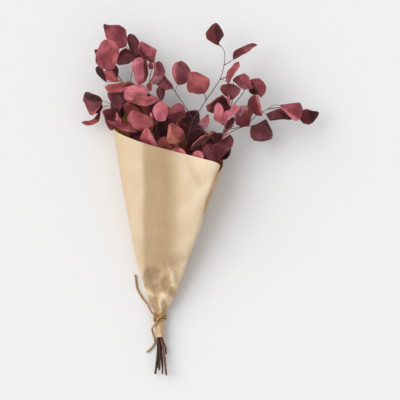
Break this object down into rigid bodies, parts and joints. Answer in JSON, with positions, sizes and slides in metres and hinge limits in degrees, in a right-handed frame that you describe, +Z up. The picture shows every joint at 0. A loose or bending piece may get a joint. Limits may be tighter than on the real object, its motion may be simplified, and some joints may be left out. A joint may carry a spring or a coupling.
{
  "type": "bunch of preserved poplar-type leaves in paper",
  "caption": "Bunch of dyed, preserved round leaves on thin woody stems, rolled in a cone of brown paper and tied at the neck with twine, lying on its back.",
  "frame": {"origin": "middle of the bounding box in X and Y, on the surface that the bunch rests on", "axes": "+Y along the bunch from the cut stem ends to the leaves, +Z up off the surface, +X to the right seen from above with the leaves at the top"},
  "size_m": [0.4054, 0.6014, 0.0975],
  "materials": {
    "kraft_paper": "plain brown paper, matte",
    "jute_twine": "twisted natural fibre, matte",
    "dyed_leaf": "dyed and preserved leaf on woody stem, satin"
  },
  "bodies": {
    "root": {"paper_wrapper": "kraft_paper", "twine_tie": "jute_twine", "twine_tail_upper": "jute_twine", "twine_tail_lower": "jute_twine", "leafy_stem_1": "dyed_leaf", "leafy_stem_2": "dyed_leaf", "leafy_stem_3": "dyed_leaf", "leafy_stem_4": "dyed_leaf", "leafy_stem_5": "dyed_leaf", "leafy_stem_6": "dyed_leaf", "leafy_stem_7": "dyed_leaf"}
  },
  "joints": []
}
